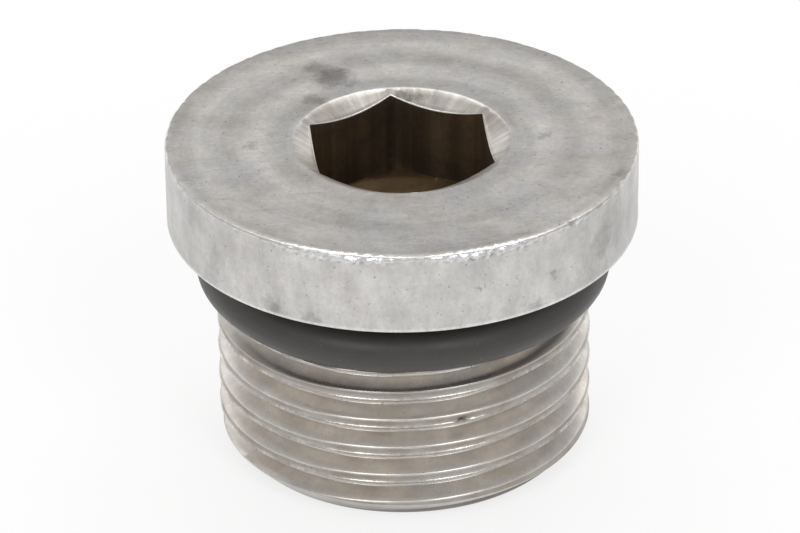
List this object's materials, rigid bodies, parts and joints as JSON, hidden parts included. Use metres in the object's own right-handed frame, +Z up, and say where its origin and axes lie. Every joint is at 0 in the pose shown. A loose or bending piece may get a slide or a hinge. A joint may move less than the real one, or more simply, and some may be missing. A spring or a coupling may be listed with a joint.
{
  "type": "hex socket plug",
  "caption": "Round-headed steel screw plug with a hexagon socket, a rubber sealing ring on its neck and a right-hand threaded shank, for closing a tapped port.",
  "frame": {"origin": "centre of the shank's end face, on the thread's axis, at the bottom of the part", "axes": "+Z up along the thread's axis from the end face to the head; one corner of the hexagon socket points to +Y"},
  "size_m": [0.0222, 0.0222, 0.0157],
  "materials": {
    "turned_steel": "worn, lightly pitted turned and tumbled steel",
    "seal_rubber": "dull moulded black rubber"
  },
  "bodies": {
    "root": {"plug_body": "turned_steel", "o_ring": "seal_rubber"}
  },
  "joints": []
}
